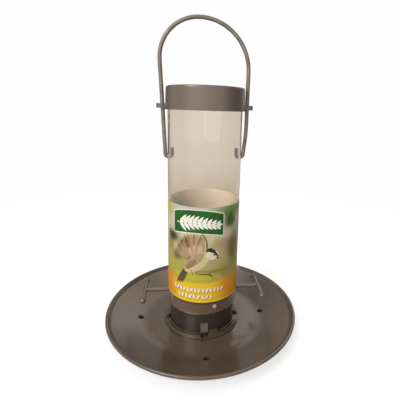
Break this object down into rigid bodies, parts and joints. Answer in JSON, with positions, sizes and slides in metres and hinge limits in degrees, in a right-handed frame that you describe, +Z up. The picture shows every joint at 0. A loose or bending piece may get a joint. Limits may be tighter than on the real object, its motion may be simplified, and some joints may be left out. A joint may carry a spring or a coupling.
{
  "type": "tube seed feeder",
  "caption": "Hanging tube feeder for fine seed: clear tube, sliding cap on a wire handle, T-shaped perches and a round twist-on seed tray.",
  "frame": {"origin": "centre of the tray's underside, on the surface the feeder stands on", "axes": "+Z up along the tube; the handle and both perches lie along X; -Y is the front"},
  "size_m": [0.1784, 0.1784, 0.2745],
  "materials": {
    "clear_tube": "clear, glossy",
    "printed_card": "printed, satin",
    "pewter_plastic": "semi-gloss moulded",
    "pin_metal": "satin",
    "coated_wire": "satin powder coat"
  },
  "bodies": {
    "feeder": {"seed_tube": "clear_tube", "label_sleeve": "printed_card", "base_cup": "pewter_plastic", "seed_cone": "pewter_plastic", "perch_right": "pewter_plastic", "perch_left": "pewter_plastic", "base_pins": "pin_metal", "handle_wire": "coated_wire"},
    "cap": {"cap": "pewter_plastic"},
    "tray": {"seed_tray": "pewter_plastic"}
  },
  "joints": [
    {"name": "cap_slide", "type": "slide", "parent": "feeder", "child": "cap", "axis": [0, 0, 1], "range_m": [0, 0.0205]},
    {"name": "tray_twist", "type": "hinge", "parent": "feeder", "child": "tray", "pos_m": [0, 0, 0.003], "axis": [0, 0, 1], "range_deg": [0, 24]}
  ]
}
